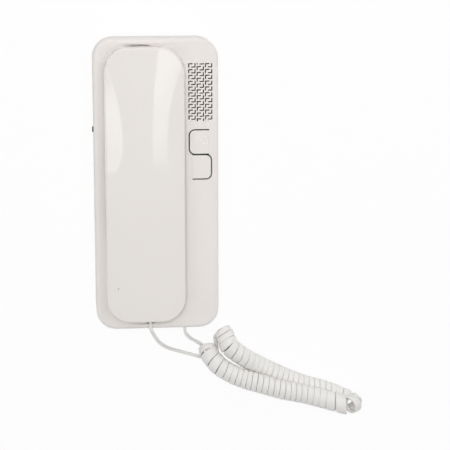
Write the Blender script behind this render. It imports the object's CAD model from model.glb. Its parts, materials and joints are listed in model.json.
# Looks of the slimline wall phone: camera, cord, mouldings, key sign and finishes.
# Lengths are in metres, in the frame of the phone: +Z out of the wall, +Y up, +X right.
import json
from math import cos, exp, pi, radians, sin

import bpy
import numpy as np
from mathutils import Matrix, Vector


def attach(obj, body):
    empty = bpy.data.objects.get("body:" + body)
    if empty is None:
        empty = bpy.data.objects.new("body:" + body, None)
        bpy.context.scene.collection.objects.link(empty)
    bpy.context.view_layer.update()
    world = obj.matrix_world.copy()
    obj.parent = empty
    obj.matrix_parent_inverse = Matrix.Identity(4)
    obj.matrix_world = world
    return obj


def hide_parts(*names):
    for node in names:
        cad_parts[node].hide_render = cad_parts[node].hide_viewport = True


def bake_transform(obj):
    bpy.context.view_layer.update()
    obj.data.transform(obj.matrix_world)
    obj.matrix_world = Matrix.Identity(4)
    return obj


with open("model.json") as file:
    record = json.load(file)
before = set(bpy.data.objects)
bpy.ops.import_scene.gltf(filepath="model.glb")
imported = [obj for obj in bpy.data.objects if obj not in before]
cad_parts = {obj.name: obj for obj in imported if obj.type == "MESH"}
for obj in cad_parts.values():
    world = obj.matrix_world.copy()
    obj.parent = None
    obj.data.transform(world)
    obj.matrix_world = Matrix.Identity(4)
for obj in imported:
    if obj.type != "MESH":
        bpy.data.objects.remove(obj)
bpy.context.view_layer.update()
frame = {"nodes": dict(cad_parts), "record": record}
bpy.ops.object.select_all(action="DESELECT")
scene = bpy.context.scene
mm = 0.001


def unit(v):
    return v / np.linalg.norm(v)


def focus(piece):
    bpy.ops.object.select_all(action="DESELECT")
    piece.select_set(True)
    bpy.context.view_layer.objects.active = piece


def fixNormals(piece):
    focus(piece)
    bpy.ops.object.mode_set(mode="EDIT")
    bpy.ops.mesh.select_all(action="SELECT")
    bpy.ops.mesh.normals_make_consistent(inside=False)
    bpy.ops.object.mode_set(mode="OBJECT")


# The camera: its place, the way it looks, and its lens and sensor in millimetres
cameraView = {
    "place": (-0.06567, 0.19324, 1.14860),
    "ahead": (0.09803, -0.19224, -0.97644),
    "up": (0.02021, 0.98135, -0.19118),
    "lens": 132.0,
    "sensor": 36.0,
    "nearest": 0.05,
}


def makeCamera(view):
    data = bpy.data.cameras.new("camera")
    data.lens = view["lens"]
    data.sensor_width = view["sensor"]
    data.clip_start = view["nearest"]
    camera = bpy.data.objects.new("camera", data)
    scene.collection.objects.link(camera)
    back = -Vector(view["ahead"]).normalized()
    right = Vector(view["up"]).cross(back).normalized()
    turn = Matrix((right, back.cross(right), back)).transposed()
    camera.matrix_world = Matrix.Translation(view["place"]) @ turn.to_4x4()
    scene.camera = camera


makeCamera(cameraView)
print("camera placed")

# The cord, in millimetres. A row of its axis is the turns so far and the point there. The curls are
# tighter at both ends and near the turn of the fold, and foldSide is the level way square to the fold.
cord = {
    "width": 3.2,
    "tailWidth": 2.3,
    "thickness": 2.1,
    "curlWidth": 7.6,
    "curlGap": 0.12,
    "curlRadius": 5.8,
    "endTightening": 0.14,
    "foldTurn": 25,
    "foldTurns": 1.3,
    "foldTightening": 0.1,
    "foldSide": (0.33, 0.944, 0),
    "stepsPerTurn": 24,
    "stepsPerRoutePoint": 8,
    "smoothedSteps": 9,
    "leadPastWidth": 0.2,
    "tailTwistRate": 1.3,
    "smoothAngle": 50,
    # Half of the band's section, as parts of its width and thickness: its outer face, then its inner face
    "outerFace": [(0.5, 0.0), (0.497, 0.2), (0.475, 0.36), (0.43, 0.46), (0.34, 0.5)],
    "innerFace": [(-0.45, -0.3), (-0.3, -0.47)],
    "axis": [
        (0, 36.51, -120.71, 6.75), (1.15, 37.11, -124.19, 9.52), (2.26, 41.24, -130.11, 12.6),
        (4.9, 52.32, -138.22, 15.14), (7.4, 61.5, -142.2, 16.7), (10.4, 72.5, -145.3, 18.8),
        (14.6, 89, -150, 20.8), (18.8, 105.5, -153.5, 21.6), (21.3, 117, -156.5, 23),
        (23.1, 127, -159, 25.4), (23.9, 134, -161, 26), (24.6, 139.6, -162, 21.4),
        (25.2, 141.2, -162.5, 15.5), (25.8, 139, -162, 10.4), (26.8, 132.5, -159.5, 8.1),
        (29.45, 121, -155, 7.4), (33.7, 104, -149.5, 7.4), (38.2, 87, -142, 7.5),
        (42.05, 72.5, -134.3, 8.4), (45.3, 60.3, -126.4, 11.4), (47.51, 51.5, -118.8, 11.61),
        (48.98, 49.04, -112.93, 9.63), (50.5, 46.36, -107.81, 7.41),
    ],
    "baseRoute": [
        (20, -104.4, 8), (20, -108, 7.4), (21.5, -111.5, 5.5), (24.5, -114.8, 3.4), (28.5, -117.4, 2),
        (32.5, -120.2, 1.7), (35.5, -123.4, 1.7), (36.8, -124.5, 1.9),
    ],
    "handsetRoute": [
        (-5.4, -95.65, 24.6), (-5.2, -101.5, 24.4), (-2.6, -107.5, 21), (0.8, -113.5, 15), (5, -118.3, 9),
        (10, -121.8, 4.5), (15, -124, 2), (21, -126, 1.25), (27, -127.8, 1.25), (32.5, -129.6, 1.3),
        (37.5, -130.6, 1.4), (41.6, -129.2, 1.6), (43.4, -125, 1.65), (42.8, -119.5, 1.65),
        (42.2, -114.8, 1.6), (43.9, -112, 1.6),
    ],
}


def hermite(a, b, wayA, wayB, u):
    return ((2 * u**3 - 3 * u**2 + 1) * a + (u**3 - 2 * u**2 + u) * wayA
            + (3 * u**2 - 2 * u**3) * b + (u**3 - u**2) * wayB)


# Line through the middle of the curls, by the number of turns
class CurlAxis:
    def __init__(self, table):
        self.turns = np.array([row[0] for row in table], float)
        self.points = np.array([row[1:] for row in table], float)
        steps = np.diff(self.turns)
        chords = np.diff(self.points, axis=0) / steps[:, None]
        share = (steps[1:] / (steps[1:] + steps[:-1]))[:, None]
        inner = share * chords[:-1] + (1 - share) * chords[1:]
        self.slopes = np.vstack([chords[:1], inner, chords[-1:]])

    def point(self, t):
        k = int(np.clip(np.searchsorted(self.turns, t, "right") - 1, 0, len(self.turns) - 2))
        h = self.turns[k + 1] - self.turns[k]
        u = (t - self.turns[k]) / h
        return hermite(self.points[k], self.points[k + 1], h * self.slopes[k], h * self.slopes[k + 1], u)

    def way(self, t, step=0.05):
        last = self.turns[-1]
        return unit(self.point(min(t + step, last)) - self.point(max(t - step, 0)))


axis = CurlAxis(cord["axis"])
lastTurn = cord["axis"][-1][0]


def curlRadius(t):
    fromEnd = min(t, lastTurn - t, 1)
    fromFold = (t - cord["foldTurn"]) / cord["foldTurns"]
    atEnds = 1 - cord["endTightening"] * (1 - sin(pi / 2 * fromEnd))
    atFold = 1 - cord["foldTightening"] * exp(-(fromFold**2))
    return cord["curlRadius"] * atEnds * atFold


def curlOut(t):
    way = axis.way(t)
    side = np.array(cord["foldSide"])
    across = unit(side - side.dot(way) * way)
    return cos(2 * pi * t) * np.cross(across, way) + sin(2 * pi * t) * across


def curlPoint(t):
    return axis.point(t) + curlRadius(t) * curlOut(t)


def curlWay(t, step=0.02):
    return unit(curlPoint(min(t + step, lastTurn)) - curlPoint(max(t - step, 0)))


# Smooth line through hand-placed points, from one given direction to another
def smoothRoute(points, startWay, endWay):
    steps = cord["stepsPerRoutePoint"]
    p = [np.array(q, float) for q in points]
    ways = [startWay] + [unit(p[i + 1] - p[i - 1]) for i in range(1, len(p) - 1)] + [endWay]
    line = []
    for i in range(len(p) - 1):
        reach = np.linalg.norm(p[i + 1] - p[i])
        for s in range(steps):
            line.append(hermite(p[i], p[i + 1], reach * ways[i], reach * ways[i + 1], s / steps))
    return line + [p[-1]]


# Centre points of the whole cord, and the way its broad side faces at each
def cordLine():
    down = np.array((0, -1, 0.0))
    firstWay, lastWay = curlWay(0), curlWay(lastTurn)
    lead = cord["width"] + cord["leadPastWidth"]
    baseJoin = curlPoint(0) - lead * firstWay
    handsetJoin = curlPoint(lastTurn) + lead * lastWay
    tailA = smoothRoute(cord["baseRoute"] + [baseJoin], down, firstWay)
    tailB = smoothRoute(cord["handsetRoute"] + [handsetJoin], down, -lastWay)
    count = round(lastTurn * cord["stepsPerTurn"])
    turns = [lastTurn * k / count for k in range(count + 1)]
    faceA, faceB = np.array((1, 0, 0.0)), np.array((0, 0, -1.0))

    def facing(line, start, end):
        share = [min(i / (len(line) - 1) * cord["tailTwistRate"], 1) for i in range(len(line))]
        return [(1 - u) * start + u * end for u in share]

    centres = tailA + [curlPoint(t) for t in turns] + tailB[::-1]
    faces = (facing(tailA, faceA, curlOut(0)) + [curlOut(t) for t in turns]
             + facing(tailB, faceB, curlOut(lastTurn))[::-1])
    return np.array(centres), np.array(faces)


# Half widths of the band at each centre point, towards the next curl and towards the last one: it is
# flattened in the curls until it nearly meets its neighbours
def bandReach(centres):
    step = cord["stepsPerTurn"]
    first = cord["stepsPerRoutePoint"] * len(cord["baseRoute"])
    last = len(centres) - 1 - cord["stepsPerRoutePoint"] * len(cord["handsetRoute"])
    reach = np.full((2, len(centres)), cord["tailWidth"] / 2)
    for side, way in enumerate((step, -step)):
        for i in range(first, last + 1):
            if first <= i + way <= last:
                room = (np.linalg.norm(centres[i] - centres[i + way]) - cord["curlGap"]) / 2
                reach[side, i] = np.clip(room, cord["width"] / 2, cord["curlWidth"] / 2)
            else:
                reach[side, i] = cord["width"] / 2
    span = cord["smoothedSteps"]
    return [np.convolve(np.pad(row, span // 2, "edge"), np.ones(span) / span, "valid") for row in reach]


def mirrored(outline):
    return [(-x, y) for x, y in outline[::-1]]


def makeCord():
    centres, faces = cordLine()
    ways = np.gradient(centres, axis=0)
    ways /= np.linalg.norm(ways, axis=1)[:, None]
    outs = faces - (faces * ways).sum(1)[:, None] * ways
    outs /= np.linalg.norm(outs, axis=1)[:, None]
    sides = np.cross(outs, ways)
    reach = bandReach(centres)
    middle = len(centres) // 2
    if sides[middle].dot(centres[middle + cord["stepsPerTurn"]] - centres[middle]) < 0:
        reach = reach[::-1]
    outer, inner = cord["outerFace"], cord["innerFace"]
    profile = outer + mirrored(outer) + inner + [(0, -0.5)] + mirrored(inner)
    n = len(profile)
    rings = [c + s * 2 * (a if p[0] > 0 else b) * p[0] + o * cord["thickness"] * p[1]
             for c, s, o, a, b in zip(centres, sides, outs, *reach) for p in profile]
    quads = [(i * n + k, i * n + (k + 1) % n, (i + 1) * n + (k + 1) % n, (i + 1) * n + k)
             for i in range(len(centres) - 1) for k in range(n)]
    last = (len(centres) - 1) * n
    quads += [tuple(range(n))[::-1], tuple(last + k for k in range(n))]
    mesh = bpy.data.meshes.new("flatCord")
    mesh.from_pydata([tuple(p * mm) for p in rings], [], quads)
    piece = bpy.data.objects.new("flatCord", mesh)
    scene.collection.objects.link(piece)
    fixNormals(piece)
    bpy.ops.object.shade_smooth_by_angle(angle=radians(cord["smoothAngle"]))
    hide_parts("base_cord_tail", "curly_cord", "handset_cord_tail")
    tuple(centres[0] * mm)
    [tuple(c * mm) for c in centres]
    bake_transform(piece)
    return piece


flatCord = makeCord()
print("cord laid")


# A value in a finish's nodes, for plain sums and products of values
class Wire:
    def __init__(self, finish, socket):
        self.finish = finish
        self.socket = socket

    def maths(self, operation, other, swapped=False):
        pair = (other, self) if swapped else (self, other)
        return self.finish.add("ShaderNodeMath", {"operation": operation}, {0: pair[0], 1: pair[1]})

    def __add__(self, other):
        return self.maths("ADD", other)

    def __radd__(self, other):
        return self.maths("ADD", other, True)

    def __sub__(self, other):
        return self.maths("SUBTRACT", other)

    def __rsub__(self, other):
        return self.maths("SUBTRACT", other, True)

    def __mul__(self, other):
        return self.maths("MULTIPLY", other)

    def __rmul__(self, other):
        return self.maths("MULTIPLY", other, True)


# A material with its own node tree, made by short calls
class Finish:
    def __init__(self, name, fixed):
        self.material = bpy.data.materials.new(name)
        self.material.use_nodes = True
        self.tree = self.material.node_tree
        self.shader = self.tree.nodes["Principled BSDF"]
        for socket, value in fixed.items():
            self.shader.inputs[socket].default_value = value
        self.place = self.add("ShaderNodeTexCoord", {}, {}, "Object")

    def add(self, kind, settings, values, output=0):
        node = self.tree.nodes.new(kind)
        for key, value in settings.items():
            setattr(node, key, value)
        for key, value in values.items():
            if isinstance(value, Wire):
                self.tree.links.new(value.socket, node.inputs[key])
            else:
                node.inputs[key].default_value = value
        return Wire(self, node.outputs[output])

    def noise(self, scale, detail=2.0, rough=0.5):
        return self.add("ShaderNodeTexNoise", {}, {"Vector": self.place, "Scale": scale, "Detail": detail,
                                                   "Roughness": rough}, "Fac")

    def blend(self, amount, a, b):
        return self.add("ShaderNodeMix", {"data_type": "RGBA"}, {"Factor": amount, 6: a, 7: b}, 2)

    # One inside a round place under the level top, and nought outside it, with softened edges
    def spot(self, middle, top, radius, soft=0.1, fade=0.0003):
        parts = self.add("ShaderNodeSeparateXYZ", {}, {"Vector": self.place})
        x, y, z = (Wire(self, parts.socket.node.outputs[k]) for k in range(3))
        x, y = x - middle[0], y - middle[1]
        away = (x * x + y * y).maths("SQRT", 0.0)
        inside = self.ramp(radius - away, -soft * radius, soft * radius)
        return inside * self.ramp(top - z, 0.0, fade)

    def ramp(self, value, low, high):
        return self.add("ShaderNodeMapRange", {}, {"Value": value, "From Min": low, "From Max": high}, "Result")

    def bump(self, height, depth):
        return self.add("ShaderNodeBump", {}, {"Height": height, "Distance": depth, "Strength": 1.0}, "Normal")

    def feed(self, **links):
        names = {"colour": "Base Color", "roughness": "Roughness", "normal": "Normal"}
        for key, wire in links.items():
            self.tree.links.new(wire.socket, self.shader.inputs[names[key]])
        return self.material


def rgba(colour):
    return (*colour, 1.0)


def scaled(colour, factor):
    return rgba([c * factor for c in colour])


# What all the plastics share: scales per metre of the colour drift and the haze, and the drift's two shades
plasticNature = {
    "driftScale": 18,
    "hazeScale": 140,
    "shades": (0.985, 1.01),
    "grainRough": 0.6,
    "fixed": {"IOR": 1.5, "Specular IOR Level": 0.5},
}


# Moulded plastic: slow colour drift, polishing haze and the fine skin of the mould. Each mark is a darker
# round place: its middle, the height it lies under, its radius and its shade
def mouldedPlastic(name, colour, rough, skin, skinSize, hazed=0.12, marks=()):
    nature = plasticNature
    f = Finish(name, nature["fixed"])
    drift = f.noise(nature["driftScale"], 2)
    grain = f.noise(1 / skinSize, 3, nature["grainRough"])
    haze = f.noise(nature["hazeScale"], 3)
    tone = f.blend(drift, *(scaled(colour, shade) for shade in nature["shades"]))
    for x, y, top, radius, shade in marks:
        tone = f.blend(f.spot((x, y), top, radius), tone, scaled(colour, shade))
    return f.feed(colour=tone, roughness=rough + hazed * (haze - 0.5), normal=f.bump(grain, skin))


# Colours, and in metres the depth and size of the skin
plastics = {
    "cover": {"colour": (0.80, 0.765, 0.74), "rough": 0.42, "skin": 0.00003, "skinSize": 0.0006,
              "marks": [(-0.0055, -0.0923, 0.0216, 0.00635, 0.08)]},
    "handset": {"colour": (0.80, 0.765, 0.735), "rough": 0.045, "skin": 0.000002, "skinSize": 0.002,
                "hazed": 0.03,
                "marks": [(-0.0281, -0.0685, 0.05, 0.0005, 0.55), (-0.0281, -0.0703, 0.05, 0.0003, 0.85)]},
    "sign": {"colour": (0.86, 0.83, 0.81), "rough": 0.42, "skin": 0.00003, "skinSize": 0.0006},
    "plate": {"colour": (0.76, 0.73, 0.70), "rough": 0.55, "skin": 0.00004, "skinSize": 0.0005},
    "cord": {"colour": (0.80, 0.785, 0.762), "rough": 0.45, "skin": 0.00003, "skinSize": 0.0004},
    "black": {"colour": (0.03, 0.03, 0.03), "rough": 0.5, "skin": 0.00004, "skinSize": 0.0004},
    "knob": {"colour": (0.05, 0.05, 0.05), "rough": 0.5, "skin": 0.00004, "skinSize": 0.0004},
    "terminal": {"colour": (0.08, 0.25, 0.40), "rough": 0.45, "skin": 0.00003, "skinSize": 0.0005},
}
finishes = {key: mouldedPlastic(key + "Plastic", **values) for key, values in plastics.items()}


# Finishes of the small parts: two colours, the roughness and how far the grain moves it, and the grain's
# scale per metre and depth in metres
grained = {
    "rubber": {"colours": ((0.03, 0.03, 0.03), (0.06, 0.06, 0.06)), "rough": 0.8, "grain": 3000,
               "depth": 0.00006},
    "steel": {"colours": ((0.55, 0.55, 0.57), (0.72, 0.72, 0.73)), "rough": 0.28, "spread": 0.25,
              "grain": 500, "depth": 0.00002},
    "board": {"colours": ((0.02, 0.12, 0.06), (0.05, 0.24, 0.13)), "rough": 0.3, "spread": 0.1,
              "grain": 320, "depth": 0.00001, "coat": 0.3, "trackScale": 160, "trackEdges": (0.49, 0.53)},
    "paper": {"colours": ((0.02, 0.02, 0.02), (0.07, 0.07, 0.07)), "rough": 0.75, "spread": 0.2,
              "grain": 1800, "depth": 0.00008, "grainRough": 0.7},
}


def blendOf(f, amount, values):
    return f.blend(amount, *(rgba(colour) for colour in values["colours"]))


def rubber(values):
    f = Finish("softRubber", {"Roughness": values["rough"]})
    grain = f.noise(values["grain"], 3)
    return f.feed(colour=blendOf(f, grain, values), normal=f.bump(grain, values["depth"]))


def platedSteel(values):
    f = Finish("platedSteel", {"Metallic": 1.0})
    mottle = f.noise(values["grain"], 4)
    return f.feed(colour=blendOf(f, mottle, values), roughness=values["rough"] + values["spread"] * mottle,
                  normal=f.bump(mottle, values["depth"]))


def solderResist(values):
    f = Finish("solderResist", {"Coat Weight": values["coat"]})
    weave = f.add("ShaderNodeTexWave", {"bands_direction": "X"}, {"Vector": f.place, "Scale": values["grain"]},
                  "Fac")
    tracks = f.ramp(f.noise(values["trackScale"], 0), *values["trackEdges"])
    return f.feed(colour=blendOf(f, tracks, values), roughness=values["rough"] + values["spread"] * weave,
                  normal=f.bump(weave, values["depth"]))


def conePaper(values):
    f = Finish("conePaper", {})
    fibre = f.noise(values["grain"], 5, values["grainRough"])
    return f.feed(colour=blendOf(f, fibre, values), roughness=values["rough"] + values["spread"] * fibre,
                  normal=f.bump(fibre, values["depth"]))


makers = {"rubber": rubber, "steel": platedSteel, "board": solderResist, "paper": conePaper}
finishes.update({key: makers[key](values) for key, values in grained.items()})

slotFinish = {
    "cover_white": "cover", "plate_white": "plate", "handset_white": "handset", "cord_white": "cord",
    "board_green": "board", "black_plastic": "black", "knob_grey": "knob", "terminal_blue": "terminal",
    "cone_paper": "paper", "rubber_black": "rubber", "plated_steel": "steel",
}


def dress(piece, finish):
    piece.data.materials.clear()
    piece.data.materials.append(finishes[finish])


for part in frame["record"]["subparts"]:
    node = frame["nodes"][part["node"]]
    finish = finishes[slotFinish[part["material_slot"]]]
    for place in node.material_slots:
        place.material = finish
dress(flatCord, "cord")
print("finishes made")


# Mouldings by node: the body, the finish and the angle above which an edge stays sharp. Points nearer than
# mergeWithin, in metres, become one.
mouldings = {
    "mergeWithin": 0.00001,
    "evenWeight": 60,
    "nodes": {"front_cover": ("base", "cover", 30), "handset_back": ("handset", "handset", 35)},
}


# A merged copy of a moulding, so that its curved faces shade smoothly and its flat faces stay flat
def smoothMoulding(nodeName, body, finish, angle):
    source = frame["nodes"][nodeName]
    piece = bpy.data.objects.new(nodeName + "Smooth", source.data.copy())
    scene.collection.objects.link(piece)
    focus(piece)
    bpy.ops.object.mode_set(mode="EDIT")
    bpy.ops.mesh.select_all(action="SELECT")
    bpy.ops.mesh.remove_doubles(threshold=mouldings["mergeWithin"])
    bpy.ops.object.mode_set(mode="OBJECT")
    bpy.ops.object.shade_smooth_by_angle(angle=radians(angle))
    even = piece.modifiers.new("evenNormals", "WEIGHTED_NORMAL")
    even.keep_sharp = True
    even.weight = mouldings["evenWeight"]
    bpy.ops.object.modifier_apply(modifier=even.name)
    dress(piece, finish)
    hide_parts(nodeName)
    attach(piece, body)


for nodeName, values in mouldings["nodes"].items():
    smoothMoulding(nodeName, *values)
print("mouldings smoothed")


# Front shell of the handset in millimetres: a curved panel between two creases that open upwards, facets
# outside them, and a plain curve over the lower half. Each rise is how far below the creases' start it
# begins and how long it takes. The corner radii are across the shell, then along it at the low and high end.
handsetFront = {
    "middle": (-8.75, 2.0),
    "width": 54.5,
    "length": 190.5,
    "sideLevels": (29.0, 30.0, 32.0, 34.0, 36.0),
    "edgeLevel": 37.0,
    "frontLevel": 42.0,
    "edgeRound": 1.4,
    "bow": 1.6,
    "panelTilt": 10.1,
    "facetTilt": 4.5,
    "lowCurve": 0.0042,
    "creaseStart": 18.5,
    "creaseRun": 66.0,
    "creaseBend": 2.6,
    "creaseHalf": (15.0, 12.0),
    "facetRise": (5, 20),
    "panelRise": (40, 50),
    "cornerRadii": (16.0, 17.0, 19.0),
    "leastRadius": 1.5,
    "endFlattening": 0.06,
    "shell": 1.8,
    "smoothAngle": 40,
    "mergeWithin": 0.004,
    "steps": {"corner": 17, "end": 6, "side": 92},
    "ringInsets": [0, 0.03, 0.1, 0.22, 0.4, 0.62, 0.9, 1.15, 1.4] + [1.8 + 0.4 * k for k in range(64)],
}


# How far the face lies under its highest level
def faceFall(x, y):
    f = handsetFront
    half, spread = f["creaseHalf"]
    along = y - f["creaseStart"]
    crease = half + spread * (np.maximum(along, 0) / f["creaseRun"]) ** f["creaseBend"]
    fade, blend = (np.clip((along + lead) / run, 0, 1) for lead, run in (f["facetRise"], f["panelRise"]))
    curve = (1 - blend) * f["lowCurve"] + blend * np.tan(radians(f["panelTilt"])) / (2 * crease)
    outside = np.maximum(np.abs(x) - crease, 0)
    facet = outside * np.tan(radians(f["facetTilt"])) - curve * outside**2
    return curve * x**2 + fade * facet + f["bow"] * (2 * y / f["length"]) ** 2


# Points round the shell at one inset from its side, each at its own height
def frontRing(inset, level=None):
    f = handsetFront
    steps = f["steps"]
    across, lowEnd, highEnd = (max(r - inset, f["leastRadius"]) for r in f["cornerRadii"])
    hx = f["width"] / 2 - inset
    hy = f["length"] / 2 - inset - f["endFlattening"] * inset**2
    across = min(across, hx)
    turn = np.radians(np.linspace(0, 90, steps["corner"]))
    flat = np.linspace(0, hx - across, steps["end"])[:-1]
    side = np.linspace(lowEnd - hy, hy - highEnd, steps["side"])[1:-1]
    x = np.concatenate([flat, hx - across + across * np.sin(turn), np.full(len(side), hx),
                        hx - across + across * np.cos(turn), flat[::-1]])
    y = np.concatenate([np.full(len(flat), -hy), lowEnd - hy - lowEnd * np.cos(turn), side,
                        hy - highEnd + highEnd * np.sin(turn), np.full(len(flat), hy)])
    x, y = np.concatenate([x, -x[-2::-1]]), np.concatenate([y, y[-2::-1]])
    share = np.sqrt(1 - max(1 - inset / f["edgeRound"], 0) ** 2)
    height = f["edgeLevel"] + (f["frontLevel"] - f["edgeLevel"]) * share - share * faceFall(x, y)
    z = height if level is None else np.full(len(x), level)
    return np.stack([x + f["middle"][0], y + f["middle"][1], z], 1) * mm


def makeHandsetFront():
    f = handsetFront
    rings = [frontRing(0, level) for level in f["sideLevels"]]
    rings += [frontRing(inset) for inset in f["ringInsets"]]
    rings.append(frontRing(f["width"] / 2))
    around = len(rings[0]) - 1
    bpy.ops.object.select_all(action="DESELECT")
    bpy.ops.mesh.primitive_grid_add(x_subdivisions=around, y_subdivisions=len(rings) - 1, size=0.1)
    piece = bpy.context.object
    piece.name = "handsetFrontShell"
    piece.data.vertices.foreach_set("co", np.concatenate(rings).ravel())
    bpy.ops.object.mode_set(mode="EDIT")
    bpy.ops.mesh.select_all(action="SELECT")
    bpy.ops.mesh.remove_doubles(threshold=f["mergeWithin"] * mm)
    bpy.ops.mesh.normals_make_consistent(inside=False)
    bpy.ops.object.mode_set(mode="OBJECT")
    if sum(face.normal.z * face.area for face in piece.data.polygons) < 0:
        piece.data.flip_normals()
    wall = piece.modifiers.new("wall", "SOLIDIFY")
    wall.thickness = f["shell"] * mm
    wall.offset = -1
    bpy.ops.object.modifier_apply(modifier=wall.name)
    bpy.ops.object.shade_smooth_by_angle(angle=radians(f["smoothAngle"]))
    dress(piece, "handset")
    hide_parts("handset_front")
    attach(piece, "handset")


makeHandsetFront()
print("handset front made")


# Raised key sign on the upper key, in millimetres: a shaft from one x to another at a y, and an oval bow,
# both of a round line pressed flatter
keySign = {
    "level": 22.0,
    "shaft": (26.2, 31.4, 30.9),
    "bow": (33.1, 30.9),
    "bowSize": (1.75, 2.0),
    "line": 0.36,
    "flatness": 0.6,
    "bowSteps": 36,
    "lineSteps": 10,
    "smoothAngle": 50,
}


def makeKeySign():
    s = keySign
    x0, x1, y = s["shaft"]
    bpy.ops.object.select_all(action="DESELECT")
    bpy.ops.mesh.primitive_torus_add(major_radius=s["bowSize"][0] * mm, minor_radius=s["line"] * mm,
                                     major_segments=s["bowSteps"], minor_segments=s["lineSteps"],
                                     location=(s["bow"][0] * mm, s["bow"][1] * mm, s["level"] * mm))
    bow = bpy.context.object
    bow.scale = (1, s["bowSize"][1] / s["bowSize"][0], s["flatness"])
    bpy.ops.mesh.primitive_cylinder_add(radius=s["line"] * mm, depth=(x1 - x0) * mm, vertices=s["lineSteps"],
                                        location=((x0 + x1) / 2 * mm, y * mm, s["level"] * mm),
                                        rotation=(0, pi / 2, 0))
    shaft = bpy.context.object
    shaft.scale = (s["flatness"], 1, 1)
    bow.select_set(True)
    bpy.ops.object.transform_apply(location=True, rotation=True, scale=True)
    bpy.context.view_layer.objects.active = bow
    bpy.ops.object.join()
    bow.name = "keySign"
    bpy.ops.object.shade_smooth_by_angle(angle=radians(s["smoothAngle"]))
    dress(bow, "sign")
    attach(bow, "door_button")


makeKeySign()
print("key sign made")

# Thin web of the moulding across the hinge line of each key, in millimetres
keyHinges = {
    "width": 0.9,
    "height": 16.0,
    "levels": (21.9, 22.012),
    "edge": 0.04,
    "edgeSteps": 2,
    "smoothAngle": 60,
    "places": {"upperKeyHinge": (36.4, 30.2), "lowerKeyHinge": (24.9, 12.85)},
}


def makeKeyHinge(name, middle):
    h = keyHinges
    low, high = h["levels"]
    bpy.ops.object.select_all(action="DESELECT")
    bpy.ops.mesh.primitive_cube_add(size=mm, location=(middle[0] * mm, middle[1] * mm, (low + high) / 2 * mm))
    web = bpy.context.object
    web.name = name
    web.scale = (h["width"], h["height"], high - low)
    bpy.ops.object.transform_apply(location=True, rotation=True, scale=True)
    edge = web.modifiers.new("edge", "BEVEL")
    edge.width = h["edge"] * mm
    edge.segments = h["edgeSteps"]
    bpy.ops.object.modifier_apply(modifier=edge.name)
    bpy.ops.object.shade_smooth_by_angle(angle=radians(h["smoothAngle"]))
    dress(web, "cover")
    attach(web, "base")


for name, middle in keyHinges["places"].items():
    makeKeyHinge(name, middle)
print("key hinges made")


# The floor reaches 1.6 m each way and glows towards the camera by a share. A lamp is its middle, what it
# faces, its width, height and brightness. Boxes show mirrored in the handset; fills only lift the shade.
studio = {
    "floorReach": 1.6,
    "floorDrop": 0.0003,
    "floorTone": 0.9,
    "floorRough": 0.9,
    "floorGlow": 0.9,
    "sky": 0.30,
    "skyMirrored": 0.5,
    "lamps": {
        "leftBox": ((-0.62, 0.2395, 1.15), (-0.62, 0.2395, 0), 0.34, 0.741, 1.0),
        "leftBoxLow": ((-0.62, -0.1185, 1.14), (-0.62, -0.1185, 0), 0.34, 0.025, 1.9),
        "leftBoxEnd": ((-0.62, -0.0855, 1.14), (-0.62, -0.0855, 0), 0.34, 0.041, 0.8),
        "leftLowFill": ((-0.62, -0.19, 1.15), (-0.62, -0.19, 0), 0.34, 0.12, 2.5),
        "rightBox": ((0.37, 0.2345, 1.15), (0.37, 0.2345, 0), 0.36, 0.751, 1.25),
        "rightBoxHigh": ((0.37, 0.05, 1.14), (0.37, 0.05, 0), 0.36, 0.32, 0.7),
        "rightBoxTop": ((0.37, 0.09, 1.13), (0.37, 0.09, 0), 0.36, 0.24, 0.6),
        "topBox": ((0.0, 1.0, 0.8), (0, 0, 0), 1.4, 0.6, 1.1),
        "frontFill": ((-0.13, 0.27, 1.35), (0, 0, 0), 0.22, 0.3, 35.0),
        "leftFill": ((-0.9, -0.05, 0.12), (0, -0.03, 0.03), 0.2, 0.8, 2.2),
        "rightFill": ((0.9, -0.05, 0.16), (0.05, -0.03, 0.03), 0.2, 0.8, 3.5),
        "topFill": ((0.05, 0.9, 0.12), (0, 0.1, 0.03), 0.8, 0.2, 1.2),
        "bottomFill": ((0.0, -0.95, 0.12), (0, -0.1, 0.03), 0.8, 0.2, 2.1),
    },
}


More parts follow.
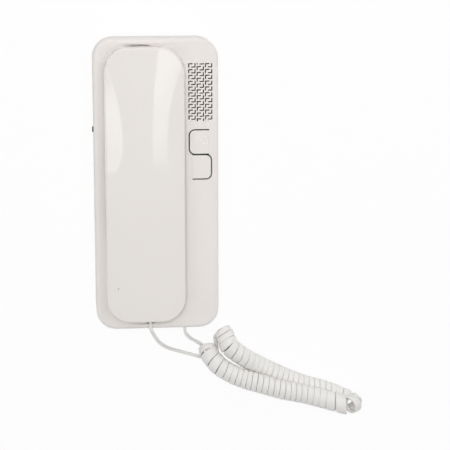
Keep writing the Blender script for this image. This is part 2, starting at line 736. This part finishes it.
def makeFloor():
    bpy.ops.object.select_all(action="DESELECT")
    bpy.ops.mesh.primitive_plane_add(size=2 * studio["floorReach"], location=(0, 0, -studio["floorDrop"]))
    floor = bpy.context.object
    floor.name = "floor"
    material = bpy.data.materials.new("paleFloor")
    material.use_nodes = True
    nodes, links = material.node_tree.nodes, material.node_tree.links
    matt = nodes["Principled BSDF"]
    matt.inputs["Base Color"].default_value = rgba([studio["floorTone"]] * 3)
    matt.inputs["Roughness"].default_value = studio["floorRough"]
    glow = nodes.new("ShaderNodeEmission")
    seen = nodes.new("ShaderNodeLightPath")
    share = nodes.new("ShaderNodeMath")
    share.operation = "MULTIPLY"
    share.inputs[1].default_value = studio["floorGlow"]
    mix = nodes.new("ShaderNodeMixShader")
    links.new(seen.outputs["Is Camera Ray"], share.inputs[0])
    links.new(share.outputs[0], mix.inputs[0])
    links.new(matt.outputs[0], mix.inputs[1])
    links.new(glow.outputs[0], mix.inputs[2])
    links.new(mix.outputs[0], nodes["Material Output"].inputs[0])
    floor.data.materials.append(material)


def makeLights():
    world = bpy.data.worlds.new("studio")
    scene.world = world
    world.use_nodes = True
    nodes, links = world.node_tree.nodes, world.node_tree.links
    sky = nodes["Background"]
    sky.inputs["Color"].default_value = (1, 1, 1, 1)
    backdrop = nodes.new("ShaderNodeBackground")
    seen = nodes.new("ShaderNodeLightPath")
    level = nodes.new("ShaderNodeMapRange")
    level.inputs["To Min"].default_value = studio["sky"]
    level.inputs["To Max"].default_value = studio["skyMirrored"]
    links.new(seen.outputs["Is Glossy Ray"], level.inputs["Value"])
    links.new(level.outputs["Result"], sky.inputs["Strength"])
    mix = nodes.new("ShaderNodeMixShader")
    links.new(seen.outputs["Is Camera Ray"], mix.inputs[0])
    links.new(sky.outputs[0], mix.inputs[1])
    links.new(backdrop.outputs[0], mix.inputs[2])
    links.new(mix.outputs[0], nodes["World Output"].inputs[0])
    for name, (place, aim, width, height, brightness) in studio["lamps"].items():
        light = bpy.data.lights.new(name, "AREA")
        light.shape = "RECTANGLE"
        light.size, light.size_y = width, height
        light.energy = brightness * pi * width * height
        lamp = bpy.data.objects.new(name, light)
        lamp.location = place
        lamp.rotation_euler = (Vector(aim) - Vector(place)).to_track_quat("-Z", "Y").to_euler()
        lamp.visible_glossy = not name.endswith("Fill")
        scene.collection.objects.link(lamp)


makeFloor()
makeLights()
scene.view_settings.view_transform = "Standard"
print("studio lit")
